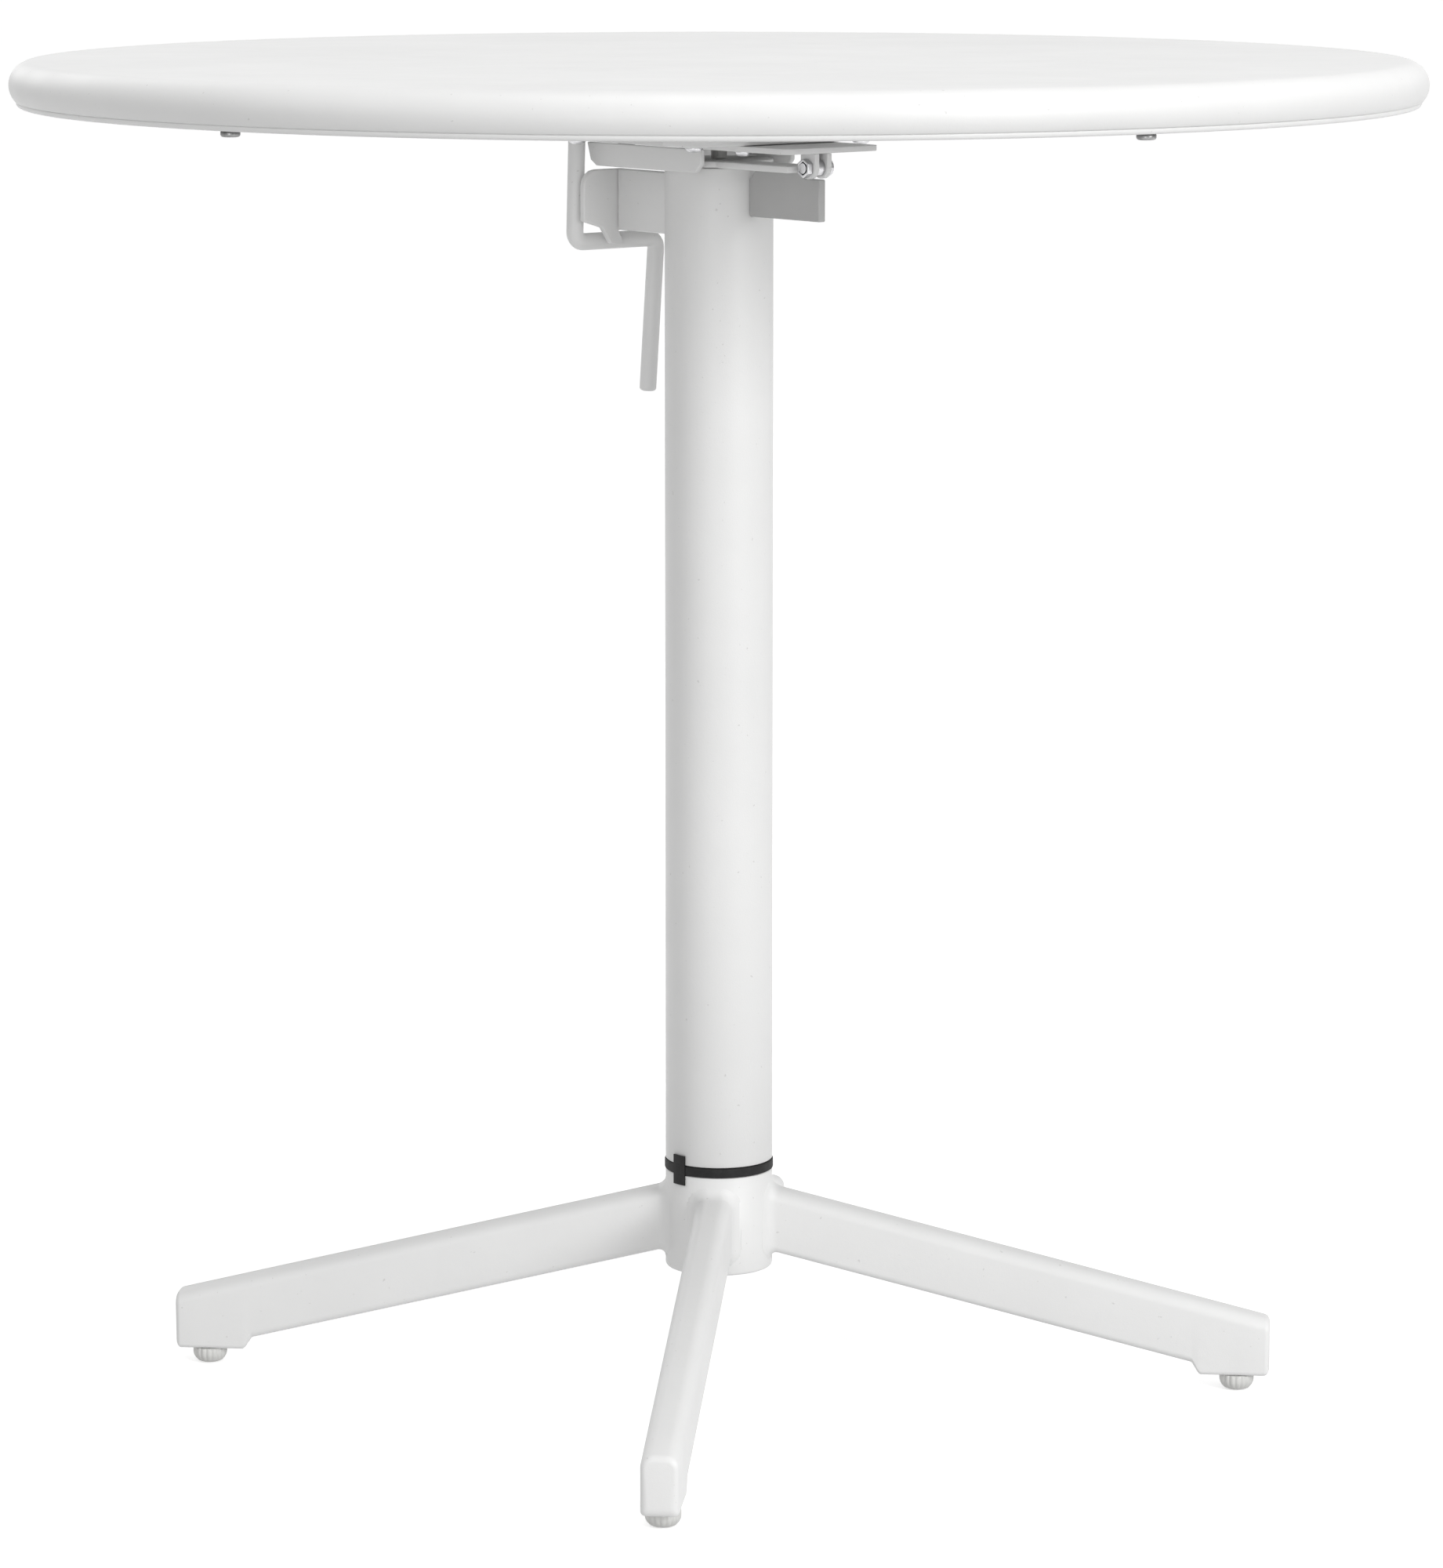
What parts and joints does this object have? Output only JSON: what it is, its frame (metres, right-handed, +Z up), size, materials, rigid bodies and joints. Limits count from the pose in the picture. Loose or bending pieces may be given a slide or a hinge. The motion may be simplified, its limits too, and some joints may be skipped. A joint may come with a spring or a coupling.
{
  "type": "bistro table",
  "caption": "Round white bistro table whose top tilts upright on a single pole with a spread leg base and levelling glides.",
  "frame": {"origin": "on the floor, on the axis of the pole", "axes": "+Z up; the head tilts about a level axis 39.3 degrees round from +X"},
  "size_m": [0.762, 0.762, 0.73],
  "materials": {
    "white_powder_coat": "satin white powder coat",
    "top_white": "satin white, fine grain",
    "panel_white": "matt white",
    "core_board": "raw board",
    "zinc_steel": "bright zinc plate",
    "black_rubber": "matt black",
    "grey_white_nylon": "satin moulded"
  },
  "bodies": {
    "pedestal": {"hub": "white_powder_coat", "pole": "white_powder_coat", "leg_1": "white_powder_coat", "leg_2": "white_powder_coat", "leg_3": "white_powder_coat", "leg_4": "white_powder_coat", "joint_seal": "black_rubber", "pole_plug": "zinc_steel", "tie_rod": "zinc_steel", "tie_washer": "zinc_steel", "tie_nut": "zinc_steel", "plug_nut": "zinc_steel", "head_plate": "white_powder_coat", "rest_pad": "grey_white_nylon", "hinge_arm": "white_powder_coat", "latch_arm": "white_powder_coat", "latch_keeper": "white_powder_coat", "hinge_knuckle": "zinc_steel"},
    "top": {"top_skin": "top_white", "under_panel": "panel_white", "core_board": "core_board", "rail_hinge_side": "white_powder_coat", "rail_latch_side": "white_powder_coat", "base_plate": "white_powder_coat", "saddle_wall_outer": "white_powder_coat", "saddle_wall_inner": "white_powder_coat", "hinge_ear_outer": "white_powder_coat", "hinge_ear_inner": "white_powder_coat", "hinge_bolt": "zinc_steel", "hinge_nut": "zinc_steel", "latch_bearing": "white_powder_coat", "plate_screw_1": "zinc_steel", "plate_screw_2": "zinc_steel", "plate_screw_3": "zinc_steel", "plate_screw_4": "zinc_steel", "panel_screw_1": "zinc_steel", "panel_screw_2": "zinc_steel", "panel_screw_3": "zinc_steel", "panel_screw_4": "zinc_steel", "rim_button_1": "zinc_steel", "rim_button_2": "zinc_steel", "rim_button_3": "zinc_steel", "rim_button_4": "zinc_steel"},
    "latch": {"latch_bail": "white_powder_coat", "latch_spring": "zinc_steel", "latch_collar": "zinc_steel"},
    "level_1": {"glide_1": "grey_white_nylon", "glide_stud_1": "zinc_steel"},
    "level_2": {"glide_2": "grey_white_nylon", "glide_stud_2": "zinc_steel"},
    "level_3": {"glide_3": "grey_white_nylon", "glide_stud_3": "zinc_steel"},
    "level_4": {"glide_4": "grey_white_nylon", "glide_stud_4": "zinc_steel"}
  },
  "joints": [
    {"name": "top_tilt", "type": "hinge", "parent": "pedestal", "child": "top", "pos_m": [0.05574, -0.0681, 0.675], "axis": [0.7738, 0.6334, 0], "range_deg": [0, 90]},
    {"name": "latch_swing", "type": "hinge", "parent": "top", "child": "latch", "pos_m": [-0.04687, 0.05726, 0.695], "axis": [0.7738, 0.6334, 0], "range_deg": [0, 30], "stiffness_Nm_per_rad": 0.3, "springref_deg": -20.05},
    {"name": "glide_screw_1", "type": "slide", "parent": "pedestal", "child": "level_1", "axis": [0, 0, -1], "range_m": [0, 0.006]},
    {"name": "glide_screw_2", "type": "slide", "parent": "pedestal", "child": "level_2", "axis": [0, 0, -1], "range_m": [0, 0.006]},
    {"name": "glide_screw_3", "type": "slide", "parent": "pedestal", "child": "level_3", "axis": [0, 0, -1], "range_m": [0, 0.006]},
    {"name": "glide_screw_4", "type": "slide", "parent": "pedestal", "child": "level_4", "axis": [0, 0, -1], "range_m": [0, 0.006]}
  ]
}
